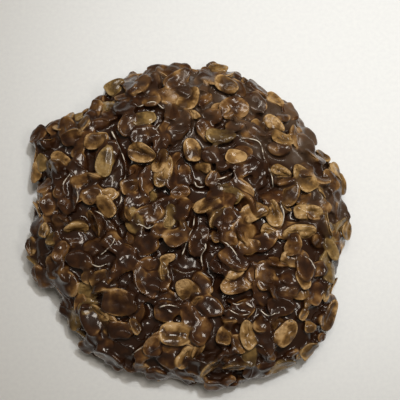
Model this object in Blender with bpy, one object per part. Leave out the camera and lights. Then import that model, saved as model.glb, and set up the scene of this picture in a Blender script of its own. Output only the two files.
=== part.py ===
"""A large no-bake oatmeal cookie: rolled oats set in chocolate fudge.

The cookie is one solid, a low mound of fudge on a flat base with the oat flakes fused to it.
Origin: the middle of the base, on the surface that the cookie rests on. +Z is up. Metres.
"""

import math
import random

import bmesh
import bpy
from mathutils import Matrix, Vector, noise

MM = 0.001

# The mound of fudge
TOP_HEIGHT = 15.5 * MM  # middle of the mound, without crags and flakes
WIDEST_HEIGHT = 4.0 * MM  # height of the line where the mound is widest
BASE_SHARE = 0.93  # reach of the flat base, as a share of the widest reach
SHOULDER = 2.9  # superellipse power: 2 is a round dome, more is a flatter top with steeper sides
CRAG_SIZE = 11.0 * MM  # from one lump of the fudge to the next
CRAG_HEIGHT = 2.2 * MM
# Reach of the widest line in mm, every 15 degrees anticlockwise from +X
REACHES_MM = (
    43.0, 42.3, 41.3, 42.3, 42.3, 45.0, 45.5, 45.3, 45.0, 44.3, 49.2, 44.0,
    42.6, 44.3, 39.6, 42.0, 43.0, 43.0, 42.6, 45.3, 45.0, 46.8, 44.6, 41.8,
)  # fmt: skip
MOUND_SIDES = 48
UPPER_RINGS = 11  # from the middle of the top to the widest line
LOWER_RINGS = 2  # from the widest line to the edge of the base
NORMAL_STEP = 0.04  # step along the surface that its slope is taken over

# The rolled oats
FLAKE_THICKNESS = 1.3 * MM  # with its coat of fudge
FLAKE_SIDES = 8
FLAKE_RINGS = 3
FLAKE_TAPER = 0.16  # how much narrower the tip is than the butt
FLAKE_BEND = 0.08  # rise of both ends, as a share of the length
FLAKE_RAGGED = 0.07  # unevenness of the outline
LOWEST_FLAKE = 0.5 * MM  # the lowest flakes stay this far above the resting surface

# The flakes that stand out on the top, each as
# x, y (mm), turn of the long axis (degrees), length, width (mm), lean about the long axis (degrees)
MAIN_FLAKES = (
    (-0.4, 33.5, 65, 8.5, 5.8, -15), (10.0, 37.8, -35, 8.0, 4.6, 15), (7.8, 44.0, 15, 6.2, 4.4, 10),
    (12.0, 31.0, 0, 8.0, 6.0, 12), (8.2, 22.4, -3, 8.6, 4.9, -10), (0.5, 18.6, 100, 7.0, 5.3, 10),
    (-13.0, 17.4, -20, 8.0, 5.0, 20), (-7.3, 12.8, 75, 10.0, 5.2, -15), (12.3, 16.3, 0, 6.4, 4.6, -8),
    (-17.1, 25.6, 60, 7.2, 5.0, 18), (-12.7, 27.4, 20, 7.2, 4.6, -10), (-3.4, 39.5, 30, 9.0, 5.2, 12),
    (-13.8, 37.5, 55, 8.0, 5.0, -15), (-21.0, 38.5, 30, 7.2, 4.4, 40), (-25.6, 21.4, 15, 7.2, 4.6, 15),
    (-32.6, 23.0, 35, 6.4, 4.4, 35), (-43.4, 25.4, 50, 7.0, 5.0, 6), (-35.5, 16.8, -30, 6.0, 4.2, -12),
    (-23.1, 15.0, 80, 9.0, 5.2, 15), (-22.7, 3.2, 125, 7.4, 4.8, -15), (-16.7, 8.4, 20, 6.4, 4.4, 20),
    (-11.0, 0.6, 15, 8.2, 5.5, 8), (-30.6, -2.7, -5, 7.2, 4.2, 68), (-25.6, -1.4, -60, 8.2, 4.4, 62),
    (-43.3, -6.3, 90, 5.6, 4.6, 10), (-42.6, -15.3, 110, 7.0, 5.6, 6), (-29.2, -11.6, -20, 8.0, 5.0, 12),
    (-23.8, -16.5, 30, 6.4, 4.8, -15), (-12.1, -7.4, 0, 7.2, 5.8, 10), (4.8, 3.0, 20, 8.2, 5.0, -20),
    (7.5, -0.2, 45, 7.4, 4.4, 68), (2.4, -6.6, 65, 9.0, 5.2, 18), (11.6, -12.0, -35, 9.0, 4.8, -15),
    (16.8, 1.3, 25, 8.0, 5.0, 15), (22.5, 1.1, 105, 8.0, 4.6, -18), (31.8, 1.6, 5, 8.2, 4.7, 12),
    (36.9, -1.3, 95, 8.2, 4.6, 66), (27.2, 6.3, 60, 7.2, 5.0, -12), (31.0, 11.0, 120, 9.0, 6.0, 14),
    (29.7, -3.9, 5, 9.0, 4.6, 38), (27.4, -8.2, 60, 7.2, 4.8, -20), (15.6, -8.2, 10, 6.4, 4.6, 15),
    (44.3, -2.0, 80, 6.0, 4.8, 8), (41.1, 10.7, 80, 7.2, 4.4, -20), (37.9, -8.0, 125, 7.2, 4.2, 15),
    (23.1, 26.8, -35, 6.8, 4.2, 18), (25.2, 22.0, -25, 6.8, 4.4, -12), (23.6, 35.0, -45, 6.4, 4.2, 15),
    (-18.6, -23.0, -20, 10.0, 7.6, 12), (-26.3, -27.2, 110, 9.0, 5.0, 15), (-3.4, -31.3, 0, 9.2, 6.2, -8),
    (-9.8, -34.2, 70, 6.0, 4.6, 12), (-1.1, -37.0, 65, 7.2, 4.4, 22), (5.8, -39.2, 30, 9.0, 4.6, 62),
    (15.3, -31.3, 100, 8.2, 4.7, 12), (7.0, -43.8, 0, 7.0, 4.4, 10), (12.2, -18.5, 10, 8.2, 4.7, -15),
    (20.1, -16.3, 95, 9.2, 6.1, 8), (29.7, -16.3, 110, 7.0, 4.4, 25), (20.0, -32.6, 95, 9.0, 4.8, -18),
    (25.4, -30.8, 50, 8.0, 5.8, 15), (24.6, -38.5, 5, 8.0, 4.6, 18), (38.6, -26.2, 70, 9.0, 4.8, -10),
    (-9.0, 43.6, 5, 6.2, 4.4, 10), (27.6, 31.4, -50, 6.6, 4.6, 10), (32.0, -34.8, 45, 6.2, 4.6, 10),
    (43.0, 15.4, 105, 6.2, 4.8, 6), (-43.8, 14.8, 75, 6.2, 4.6, 8),
)  # fmt: skip
MAIN_PROUD = 0.25 * MM  # height of their middles over the fudge
MAIN_TWIST = 25.0  # degrees that the axis they lean about may turn off the long axis
FACE_UP = 0.7  # how far they face up at the edge: 0 is along the fudge's slope, much more is straight up
EDGE_SHARE = 0.995  # those past the edge lie at the height that the fudge has at this share of the reach
MOST_PAST = 0.9 * MM  # how far past it their middles may be

# The flakes between them, on an even spiral that winds from the middle of the top down the sides
FILL_PLACES = 182
FILL_END = 1.75  # where the spiral ends: 1 is the widest line and 2 the edge of the base
FILL_GAP = 5.2 * MM  # a place nearer than this to a main flake is left out
FILL_SCATTER = 0.35  # off the spiral, as a share of the spacing
FILL_LENGTHS = (6.4 * MM, 9.2 * MM)
FILL_WIDTHS = (0.6, 0.76)  # shares of the length
FILL_LEANS = (4.0, 38.0)
STEEP_SHARE = 0.14  # how many stand on edge instead
STEEP_LEANS = (50.0, 75.0)
FILL_PROUD = (-0.2 * MM, 0.5 * MM)
SIDE_START = 0.8  # from here down, flakes lean less and lie deeper
SIDE_LEAN = 0.5  # share of the lean that is left
SIDE_SINK = 0.5 * MM
SPIRAL_STEPS = 120  # bands that the surface is measured in
LEAST_SHARE = 0.1  # nearer to the middle than this the scatter doesn't grow

SEED = 7
FUDGE_COLOUR = (0.045, 0.022, 0.011, 1.0)
FUDGE_ROUGHNESS = 0.3
SHARP_EDGE = 35.0  # degrees between faces that still shade as one
POLE_WELD = 1e-5  # joins the copies of the profile's end in the middle of the top


def clear_scene():
    for obj in list(bpy.data.objects):
        bpy.data.objects.remove(obj, do_unlink=True)


def reach_at(angle):
    """Reach of the widest line in one direction, on a smooth closed curve through REACHES_MM."""
    place = (angle / (2.0 * math.pi)) % 1.0 * len(REACHES_MM)
    first = int(place)
    t = place - first
    a, b, c, d = (REACHES_MM[(first + step) % len(REACHES_MM)] for step in (-1, 0, 1, 2))
    slope = (c - a) * t
    bend = (2.0 * a - 5.0 * b + 4.0 * c - d) * t * t + (3.0 * b - a - 3.0 * c + d) * t**3
    return (b + 0.5 * (slope + bend)) * MM


def profile(down):
    """(share of the reach, height): 0 is the middle of the top, 1 the widest line, 2 the edge of the base."""
    if down <= 1.0:
        share = math.sin(down * math.pi / 2.0)
        rise = (1.0 - share**SHOULDER) ** (1.0 / SHOULDER)
        return share, WIDEST_HEIGHT + (TOP_HEIGHT - WIDEST_HEIGHT) * rise
    under = down - 1.0
    return 1.0 - (1.0 - BASE_SHARE) * under * under, WIDEST_HEIGHT * (1.0 - under)


def mound_point(angle, down):
    """A point of the fudge's surface. Its crags fade out towards the base."""
    share, height = profile(down)
    reach = reach_at(angle) * share
    point = Vector((reach * math.cos(angle), reach * math.sin(angle), height))
    crag = CRAG_HEIGHT * noise.noise(point / CRAG_SIZE) * min(1.0, height / WIDEST_HEIGHT)
    outward = Vector((share**3 * math.cos(angle), share**3 * math.sin(angle), 1.0 - share**5))
    return point + outward * crag


def mound_normal(angle, down):
    """The outward direction there, from short steps along the surface."""
    around = mound_point(angle + NORMAL_STEP, down) - mound_point(angle - NORMAL_STEP, down)
    below = mound_point(angle, down + NORMAL_STEP) - mound_point(angle, down - NORMAL_STEP)
    return below.cross(around).normalized()


def make_mound():
    """The fudge: a profile turned round the upright axis, then shaped by its reach and crags."""
    downs = [ring / UPPER_RINGS for ring in range(UPPER_RINGS + 1)]
    downs += [1.0 + (ring + 1) / LOWER_RINGS for ring in range(LOWER_RINGS)]
    mesh = bmesh.new()
    verts = [mesh.verts.new((down, 0.0, 0.0)) for down in downs]
    edges = [mesh.edges.new(pair) for pair in zip(verts, verts[1:])]
    bmesh.ops.spin(
        mesh,
        geom=verts + edges,
        cent=(0.0, 0.0, 0.0),
        axis=(0.0, 0.0, 1.0),
        angle=2.0 * math.pi,
        steps=MOUND_SIDES,
        use_merge=True,
    )
    bmesh.ops.remove_doubles(mesh, verts=mesh.verts, dist=POLE_WELD)
    bmesh.ops.holes_fill(mesh, edges=[edge for edge in mesh.edges if edge.is_boundary])
    for vert in mesh.verts:
        vert.co = mound_point(math.atan2(vert.co.y, vert.co.x), vert.co.xy.length)
    bmesh.ops.recalc_face_normals(mesh, faces=mesh.faces)
    return object_from(mesh, "cookie", bpy.context.scene.collection)


def object_from(mesh, name, collection):
    data = bpy.data.meshes.new(name)
    mesh.to_mesh(data)
    mesh.free()
    obj = bpy.data.objects.new(name, data)
    collection.objects.link(obj)
    return obj


def flake_matrix(middle, normal, turn, lean, lean_turn):
    """Lays a flake there: its long axis turned in plan, then its face leaned off the normal."""
    along = Vector((math.cos(turn), math.sin(turn), 0.0))
    along = (along - normal * along.dot(normal)).normalized()
    frame = Matrix((along, normal.cross(along), normal)).transposed().to_4x4()
    hinge = Vector((math.cos(lean_turn), math.sin(lean_turn), 0.0))
    return Matrix.Translation(middle) @ frame @ Matrix.Rotation(lean, 4, hinge)


def main_flakes():
    """(matrix, length, width) of each flake that stands out. They lean about their long axes."""
    draw = random.Random(SEED)
    for x, y, turn, length, width, lean in MAIN_FLAKES:
        wanted = Vector((x, y)) * MM
        angle = math.atan2(y, x)
        share = wanted.length / reach_at(angle)
        down = math.asin(min(EDGE_SHARE, share)) * 2.0 / math.pi
        normal = (mound_normal(angle, down) + Vector((0.0, 0.0, FACE_UP))).normalized()
        middle = mound_point(angle, down)
        past = (wanted - middle.xy).to_3d()
        past *= min(1.0, MOST_PAST / max(past.length, MM))
        proud = MAIN_PROUD - SIDE_SINK if down > SIDE_START else MAIN_PROUD
        middle += past + normal * proud
        lean_turn = math.radians(draw.uniform(-MAIN_TWIST, MAIN_TWIST))
        matrix = flake_matrix(middle, normal, math.radians(turn), math.radians(lean), lean_turn)
        yield matrix, length * MM, width * MM


def spiral_places(draw):
    """(angle, down) spread evenly over the mound's surface, by equal shares of its area."""
    downs = [FILL_END * step / SPIRAL_STEPS for step in range(SPIRAL_STEPS + 1)]
    points = [profile(down) for down in downs]
    mean_reach = sum(REACHES_MM) / len(REACHES_MM) * MM
    areas = [0.0]
    for (share, height), (next_share, next_height) in zip(points, points[1:]):
        band = math.hypot((next_share - share) * mean_reach, next_height - height)
        areas.append(areas[-1] + math.pi * (share + next_share) * mean_reach * band)
    spacing = math.sqrt(areas[-1] / FILL_PLACES)
    golden_angle = math.pi * (3.0 - math.sqrt(5.0))
    for place in range(FILL_PLACES):
        wanted = areas[-1] * (place + 0.5) / FILL_PLACES
        band = max(step for step in range(SPIRAL_STEPS) if areas[step] <= wanted)
        along = (wanted - areas[band]) / (areas[band + 1] - areas[band])
        down = FILL_END * (band + along) / SPIRAL_STEPS
        share = max(LEAST_SHARE, profile(down)[0])
        scatter = FILL_SCATTER * spacing / (share * mean_reach)
        angle = place * golden_angle + draw.uniform(-scatter, scatter)
        yield angle, min(FILL_END, down * (1.0 + 0.5 * draw.uniform(-scatter, scatter)))


def fill_flakes():
    """(matrix, length, width) of the flakes between the main ones."""
    draw = random.Random(SEED + 1)
    taken = [Vector((x * MM, y * MM)) for x, y, *_ in MAIN_FLAKES]
    for angle, down in spiral_places(draw):
        length = draw.uniform(*FILL_LENGTHS)
        width = length * draw.uniform(*FILL_WIDTHS)
        turn, lean_turn = draw.uniform(0.0, math.pi), draw.uniform(0.0, 2.0 * math.pi)
        steep = draw.random() < STEEP_SHARE
        lean = math.radians(draw.uniform(*(STEEP_LEANS if steep else FILL_LEANS)))
        proud = draw.uniform(*FILL_PROUD)
        if down > SIDE_START:
            lean, proud = SIDE_LEAN * lean, proud - SIDE_SINK
        middle = mound_point(angle, down)
        if down < 1.0 and min((middle.xy - other).length for other in taken) < FILL_GAP:
            continue
        normal = mound_normal(angle, down)
        yield flake_matrix(middle + normal * proud, normal, turn, lean, lean_turn), length, width


def make_flake(name, matrix, length, width, draw, collection):
    """One flake: a flat lens with a ragged egg-shaped outline and both ends bent up."""
    mesh = bmesh.new()
    bmesh.ops.create_uvsphere(mesh, u_segments=FLAKE_SIDES, v_segments=FLAKE_RINGS, radius=1.0)
    rim = max(vert.co.xy.length for vert in mesh.verts)
    for vert in mesh.verts:
        along, across = vert.co.xy / rim
        ragged = 1.0 + draw.uniform(-FLAKE_RAGGED, FLAKE_RAGGED)
        vert.co.x = 0.5 * length * along * ragged
        vert.co.y = 0.5 * width * across * ragged * (1.0 - FLAKE_TAPER * along)
        vert.co.z = 0.5 * FLAKE_THICKNESS * vert.co.z + FLAKE_BEND * length * along**2
    mesh.transform(matrix)
    lowest = min(vert.co.z for vert in mesh.verts)
    if lowest < LOWEST_FLAKE:
        bmesh.ops.translate(mesh, verts=mesh.verts, vec=(0.0, 0.0, LOWEST_FLAKE - lowest))
    return object_from(mesh, name, collection)


def fuse(body, collection):
    """Joins every object of the collection to the body, then removes them."""
    union = body.modifiers.new("oats", "BOOLEAN")
    union.operation = "UNION"
    union.operand_type = "COLLECTION"
    union.collection = collection
    union.solver = "EXACT"
    graph = bpy.context.evaluated_depsgraph_get()
    fused = bpy.data.meshes.new_from_object(body.evaluated_get(graph))
    body.modifiers.remove(union)
    body.data = fused
    for obj in list(collection.objects):
        bpy.data.objects.remove(obj, do_unlink=True)
    bpy.data.collections.remove(collection)


def keep_outer_skin(obj):
    """Fills the hollows that fusing sealed and drops loose scraps: only the largest skin stays."""
    mesh = bmesh.new()
    mesh.from_mesh(obj.data)
    left, skins = set(mesh.verts), []
    while left:
        skin, reached = [], [left.pop()]
        while reached:
            vert = reached.pop()
            skin.append(vert)
            fresh = {edge.other_vert(vert) for edge in vert.link_edges} & left
            left -= fresh
            reached.extend(fresh)
        skins.append(skin)
    skins.sort(key=len)
    for skin in skins[:-1]:
        bmesh.ops.delete(mesh, geom=skin, context="VERTS")
    mesh.to_mesh(obj.data)
    mesh.free()


def sort_mesh(obj):
    """Puts the points and faces in order of place, because a Boolean leaves them in any order."""
    old = obj.data
    order = sorted(range(len(old.vertices)), key=lambda index: tuple(old.vertices[index].co))
    rank = {index: place for place, index in enumerate(order)}
    faces = []
    for face in old.polygons:
        corners = [rank[index] for index in face.vertices]
        first = corners.index(min(corners))
        faces.append(corners[first:] + corners[:first])
    obj.data = bpy.data.meshes.new(obj.name)
    obj.data.from_pydata([old.vertices[index].co for index in order], [], sorted(faces))


def fudge_material():
    material = bpy.data.materials.new("fudge")
    material.use_nodes = True
    shader = material.node_tree.nodes["Principled BSDF"]
    shader.inputs["Base Color"].default_value = FUDGE_COLOUR
    shader.inputs["Roughness"].default_value = FUDGE_ROUGHNESS
    shader.inputs["Metallic"].default_value = 0.0
    return material


def main():
    clear_scene()
    cookie = make_mound()
    oats = bpy.data.collections.new("oats")
    bpy.context.scene.collection.children.link(oats)
    draw = random.Random(SEED + 2)
    for number, (matrix, length, width) in enumerate([*main_flakes(), *fill_flakes()]):
        make_flake(f"flake_{number:03d}", matrix, length, width, draw, oats)
    fuse(cookie, oats)
    keep_outer_skin(cookie)
    sort_mesh(cookie)
    for face in cookie.data.polygons:
        face.use_smooth = True
    cookie.data.set_sharp_from_angle(angle=math.radians(SHARP_EDGE))
    cookie.data.materials.append(fudge_material())


main()
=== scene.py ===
import math
import random
from functools import partial

import bmesh
import bpy
from mathutils import Matrix, Vector, noise
from mathutils.bvhtree import BVHTree
from mathutils.kdtree import KDTree


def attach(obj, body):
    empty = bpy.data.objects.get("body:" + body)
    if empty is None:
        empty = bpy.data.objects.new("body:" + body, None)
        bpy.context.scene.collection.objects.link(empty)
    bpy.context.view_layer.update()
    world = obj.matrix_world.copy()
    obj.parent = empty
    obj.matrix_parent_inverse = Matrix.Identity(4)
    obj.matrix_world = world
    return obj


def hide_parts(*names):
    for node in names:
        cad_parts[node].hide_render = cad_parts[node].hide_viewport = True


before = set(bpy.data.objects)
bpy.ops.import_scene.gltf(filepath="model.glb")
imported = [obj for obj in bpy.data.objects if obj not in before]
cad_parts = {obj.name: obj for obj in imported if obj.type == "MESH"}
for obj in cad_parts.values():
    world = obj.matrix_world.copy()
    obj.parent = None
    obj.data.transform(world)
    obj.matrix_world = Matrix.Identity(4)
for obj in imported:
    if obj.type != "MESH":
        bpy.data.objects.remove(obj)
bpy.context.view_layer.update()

# A no-bake oatmeal cookie: rolled oats in cooked chocolate fudge that set wet and glossy.
# Origin in the middle of the flat base, +Z up, metres, as in the CAD.

mm = 0.001

# The mound of fudge, with the same form as the CAD solid
mound = {
    "topHeight": 15.5 * mm,
    "widestHeight": 4.0 * mm,
    "baseShare": 0.93,
    "shoulder": 2.9,
    "cragSize": 11.0 * mm,
    "cragHeight": 2.2 * mm,
    # reach of the widest line in mm, every 15 degrees anticlockwise from +X
    "reaches": (43.0, 42.3, 41.3, 42.3, 42.3, 45.0, 45.5, 45.3, 45.0, 44.3, 49.2, 44.0,
                42.6, 44.3, 39.6, 42.0, 43.0, 43.0, 42.6, 45.3, 45.0, 46.8, 44.6, 41.8),
    "sides": 150,
    "upperRings": 40,
    "lowerRings": 6,
    "inset": 1.2 * mm,  # the bare fudge lies this far under the CAD's surface, between the flakes
    "lumpSize": 4.5 * mm,
    "lumpHeight": 0.9 * mm,
    "lumpShift": (7.0, 3.0, 1.0),  # the lumps read the noise in another place than the crags
}


def between(a, b, c, d, t):
    # a smooth line from b, where t is 0, to c, where it is 1, with a before them and d after
    slope = (c - a) * t
    bend = (2.0 * a - 5.0 * b + 4.0 * c - d) * t * t + (3.0 * b - a - 3.0 * c + d) * t**3
    return b + 0.5 * (slope + bend)


def reachAt(angle):
    reaches = mound["reaches"]
    place = (angle / math.tau) % 1.0 * len(reaches)
    first = int(place)
    return between(*(reaches[(first + step) % len(reaches)] for step in (-1, 0, 1, 2)), place - first) * mm


def profileAt(down):
    # 0 is the middle of the top, 1 the widest line, 2 the edge of the base
    if down <= 1.0:
        share = math.sin(down * math.pi / 2.0)
        rise = (1.0 - abs(share) ** mound["shoulder"]) ** (1.0 / mound["shoulder"])
        return share, mound["widestHeight"] + (mound["topHeight"] - mound["widestHeight"]) * rise
    under = down - 1.0
    return 1.0 - (1.0 - mound["baseShare"]) * under * under, mound["widestHeight"] * (1.0 - under)


def moundFrame(angle, down):
    # a point of the smooth mound, the way out of it, and how much of the crags shows there
    share, height = profileAt(down)
    reach = reachAt(angle) * share
    point = Vector((reach * math.cos(angle), reach * math.sin(angle), height))
    outward = Vector((share**3 * math.cos(angle), share**3 * math.sin(angle), 1.0 - share**5))
    return point, outward, min(1.0, height / mound["widestHeight"])


def moundPoint(angle, down):
    point, outward, fade = moundFrame(angle, down)
    return point + outward * mound["cragHeight"] * noise.noise(point / mound["cragSize"]) * fade


def moundNormal(angle, down):
    step = 0.04
    around = moundPoint(angle + step, down) - moundPoint(angle - step, down)
    below = moundPoint(angle, down + step) - moundPoint(angle, down - step)
    return below.cross(around).normalized()


# The oat flakes that stand out, read off the photograph. Each row is x, y (mm), turn of the
# long axis (degrees), length, width (mm), lean about the long axis (degrees) and look
mainFlakes = (
    (-0.4, 33.5, 65, 8.5, 5.8, -15, "golden"), (10, 37.8, -35, 8, 4.6, 15, "golden"),
    (7.8, 44, 15, 6.2, 4.4, 10, "tan"), (12, 31, 0, 8.4, 6.8, 10, "pink"),
    (8.2, 22.4, -3, 8.6, 4.9, -10, "olive"), (0.5, 18.6, 100, 7, 5.3, 10, "golden"),
    (-13, 17.4, -20, 8.4, 5.4, 16, "folded"), (-7.3, 12.8, 75, 10, 5.2, -15, "rough"),
    (12.3, 16.3, 0, 6.4, 4.6, -8, "golden"), (-17.1, 25.6, 60, 7.2, 5, 18, "amber"),
    (-12.7, 27.4, 20, 7.2, 4.6, -10, "olive"), (-3.4, 39.5, 30, 9, 5.2, 12, "amber"),
    (-13.8, 37.5, 55, 8, 5, -15, "amber"), (-21, 38.5, 30, 7.2, 4.4, 40, "olive"),
    (-25.6, 21.4, 15, 7.2, 4.6, 15, "golden"), (-32.6, 23, 35, 6.4, 4.4, 35, "amber"),
    (-43.4, 25.4, 50, 7, 5, 6, "ruddy"), (-35.5, 16.8, -30, 6, 4.2, -12, "golden"),
    (-23.1, 15, 80, 9, 5.2, 15, "olive"), (-22.7, 3.2, 125, 7.4, 4.8, -15, "golden"),
    (-16.7, 8.4, 20, 6.4, 4.4, 20, "amber"), (-11, 0.6, 15, 8.2, 5.5, 8, "amber"),
    (-30.6, -2.7, -5, 7.2, 4.2, 68, "tan"), (-25.6, -1.4, -60, 8.2, 4.4, 62, "amber"),
    (-43.3, -6.3, 90, 5.6, 4.6, 10, "golden"), (-42.6, -15.3, 110, 7, 5.6, 6, "ruddy"),
    (-29.2, -11.6, -20, 8, 5, 12, "coated"), (-23.8, -16.5, 30, 6.4, 4.8, -15, "golden"),
    (-12.1, -7.4, 0, 7.2, 5.8, 10, "coated"), (4.8, 3, 20, 8.2, 5, -20, "golden"),
    (7.5, -0.2, 45, 7.4, 4.4, 68, "tan"), (2.4, -6.6, 65, 9, 5.2, 18, "coated"),
    (11.6, -12, -35, 9, 4.8, -15, "coated"), (16.8, 1.3, 25, 8, 5, 15, "golden"),
    (22.5, 1.1, 105, 8, 4.6, -18, "rough"), (31.8, 1.6, 5, 8.2, 4.7, 12, "tan"),
    (36.9, -1.3, 95, 8.2, 4.6, 66, "tan"), (27.2, 6.3, 60, 7.2, 5, -12, "golden"),
    (31, 11, 120, 9, 6, 14, "tan"), (29.7, -3.9, 5, 9, 4.6, 38, "tan"),
    (27.4, -8.2, 60, 7.2, 4.8, -20, "amber"), (15.6, -8.2, 10, 6.4, 4.6, 15, "amber"),
    (44.3, -2, 80, 6, 4.8, 8, "tan"), (41.1, 10.7, 80, 7.2, 4.4, -20, "tan"),
    (37.9, -8, 125, 7.2, 4.2, 15, "olive"), (23.1, 26.8, -35, 6.8, 4.2, 18, "golden"),
    (25.2, 22, -25, 6.8, 4.4, -12, "rough"), (23.6, 35, -45, 6.4, 4.2, 15, "golden"),
    (-18.6, -23, -20, 10, 7.6, 12, "amber"), (-26.3, -27.2, 110, 9, 5, 15, "coated"),
    (-3.4, -31.3, 0, 9.8, 7, -8, "creased"), (-9.8, -34.2, 70, 6, 4.6, 12, "ruddy"),
    (-1.1, -37, 65, 7.2, 4.4, 22, "creased"), (5.8, -39.2, 30, 9, 4.6, 62, "tan"),
    (15.3, -31.3, 100, 8.2, 4.7, 12, "rough"), (7, -43.8, 0, 7, 4.4, 10, "ruddy"),
    (12.2, -18.5, 10, 8.2, 4.7, -15, "amber"), (20.1, -16.3, 95, 9.2, 6.1, 8, "amber"),
    (29.7, -16.3, 110, 7, 4.4, 25, "golden"), (20, -32.6, 95, 9, 4.8, -18, "coated"),
    (25.4, -30.8, 50, 8, 5.8, 15, "golden"), (24.6, -38.5, 5, 8, 4.6, 18, "olive"),
    (38.6, -26.2, 70, 9, 4.8, -10, "golden"), (-9, 43.6, 5, 6.2, 4.4, 10, "ruddy"),
    (27.6, 31.4, -50, 6.6, 4.6, 10, "ruddy"), (32, -34.8, 45, 6.2, 4.6, 10, "tan"),
    (43, 15.4, 105, 6.2, 4.8, 6, "tan"), (-43.8, 14.8, 75, 6.2, 4.6, 8, "golden"),
)

# Smaller or half-buried flakes and broken bits that show between them. These are only in this scene.
sideFlakes = (
    (1.3, 28.6, -30, 3.6, 2.4, 20, "golden"), (15.7, 40.3, -35, 4.2, 2.8, 12, "golden"),
    (4, 43.2, 90, 3.5, 2.8, 15, "ruddy"), (13.3, 43, 80, 3.4, 3, 10, "ruddy"),
    (5.7, 17.2, 0, 5.4, 5, 0, "coated"), (-5, 11, 80, 7, 3.8, 30, "ruddy"),
    (-11.8, 10.6, 80, 8, 4.4, 25, "ruddy"), (-2.8, 44.2, 0, 6.4, 4, 10, "amber"),
    (-25.9, 35, 0, 3.8, 3.5, 10, "ruddy"), (-37.8, 27, 30, 5.4, 4, 12, "ruddy"),
    (-32.6, 29.3, 30, 6, 3.4, 20, "olive"), (-28, 28.5, 50, 4.4, 3.2, 15, "ruddy"),
    (-25, 26.7, 5, 6, 2.8, 25, "ruddy"), (-14.5, 4.5, 25, 8, 5, 15, "coated"),
    (-39.8, -3, 90, 4.2, 3.2, 10, "tan"), (-27, -16, 45, 4.4, 4, 12, "golden"),
    (-40.5, -17, 20, 6, 4.8, 10, "ruddy"), (-32, -17.5, 100, 7, 5, -12, "amber"),
    (10, -0.7, 60, 8, 5.6, 15, "coated"), (6.7, -5.8, 110, 3.6, 2.5, 25, "golden"),
    (-2.7, 7.1, 10, 6, 4.2, 12, "ruddy"), (-1.9, -1.8, 120, 3.4, 2, 40, "golden"),
    (-5.9, -11.2, 20, 4.6, 2.7, 20, "golden"), (-7.3, -15, 95, 5.2, 2.4, 35, "tan"),
    (35.8, 7.2, 100, 4.4, 3, 65, "tan"), (25.7, 3, 120, 4.2, 2.6, 65, "tan"),
    (21.5, -3.6, -20, 5.4, 3.8, 15, "rough"), (26.7, -11.7, -15, 5.8, 4.2, 12, "golden"),
    (34.3, -13.7, 0, 4.8, 4.4, 10, "coated"), (24.8, 13, -25, 6.2, 3.4, 20, "tan"),
    (18.6, 26.1, -50, 4.6, 3.3, 15, "golden"), (24.5, 19.3, 0, 6.5, 4.2, 10, "coated"),
    (37, 19, -30, 5.2, 2.9, 15, "tan"), (-24, -25.5, -30, 7, 3.2, 30, "tan"),
    (-14.8, -29, 115, 5.2, 2.9, 25, "golden"), (-18.5, -30, 0, 7, 5, 10, "coated"),
    (-22.5, -34, 50, 5.2, 3.7, 12, "ruddy"), (-19.3, -38.5, 90, 5.2, 3.7, 15, "ruddy"),
    (-12.3, -36.5, 20, 5.2, 3.7, 12, "ruddy"), (2.1, -35.4, 60, 6.4, 2.8, 35, "golden"),
    (11.7, -39.5, 8, 6.6, 3.4, 62, "tan"), (12.7, -33.9, 120, 6.2, 3.2, 20, "amber"),
    (10.5, -43, 10, 3.8, 3.2, 12, "ruddy"), (22.4, -33.4, 45, 3.4, 3, 15, "tan"),
    (32, -29.2, 0, 3.7, 3.4, 10, "golden"), (31.5, -23, 60, 3.8, 2.2, 25, "golden"),
    (30.2, -25.9, 60, 3.8, 2.7, 20, "golden"), (36.8, -19.8, 80, 5.2, 2.4, 35, "tan"),
    (35.5, -31.5, 0, 3.3, 2.7, 12, "ruddy"), (29.8, -35.8, 60, 4.6, 2.8, 15, "tan"),
    (24, -24, 0, 8, 5.6, 12, "coated"), (6, 10.5, 70, 5, 3.6, 18, "coated"),
    (14, 7.5, -35, 8, 5.2, 15, "amber"), (-34.5, 8, 60, 7, 4.8, 15, "coated"),
    (-30, 7, 100, 6.4, 4.4, -12, "coated"), (-38.5, 4.5, 80, 6.4, 4.6, 12, "ruddy"),
    (-17, -12.5, 30, 6.6, 4.8, 12, "coated"), (-20, -7.5, -40, 7, 5, -10, "coated"),
    (-6, -25, 10, 7.6, 5, 8, "coated"), (5.5, -24, -30, 7, 4.8, 10, "coated"),
    (14, -25, 30, 8, 5.4, 8, "coated"), (-8, 20.5, 70, 6, 4.2, 15, "ruddy"),
    (-3, 24.5, 20, 6.5, 4.2, 12, "coated"), (18.5, 33, -50, 7, 4.6, 10, "coated"),
    (19.5, 13.5, 60, 5.8, 4, 15, "coated"), (-30.5, 15, 70, 7, 4.6, 14, "coated"),
    (36.5, 27, -50, 6, 4.2, 10, "coated"), (31.5, 21, -60, 7.2, 4.6, 12, "coated"),
    (38, -14.5, 80, 6, 4.2, 12, "olive"), (26, -20.5, 20, 6, 4.4, 12, "amber"),
    (-35, -9, 60, 6.2, 4.4, 12, "ruddy"), (-33.5, -23, 60, 6.6, 4.6, 12, "coated"),
    (-9, -41.5, 10, 6.4, 4.4, 14, "ruddy"), (-28, -34, 40, 6, 4.2, 12, "coated"),
)

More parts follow.
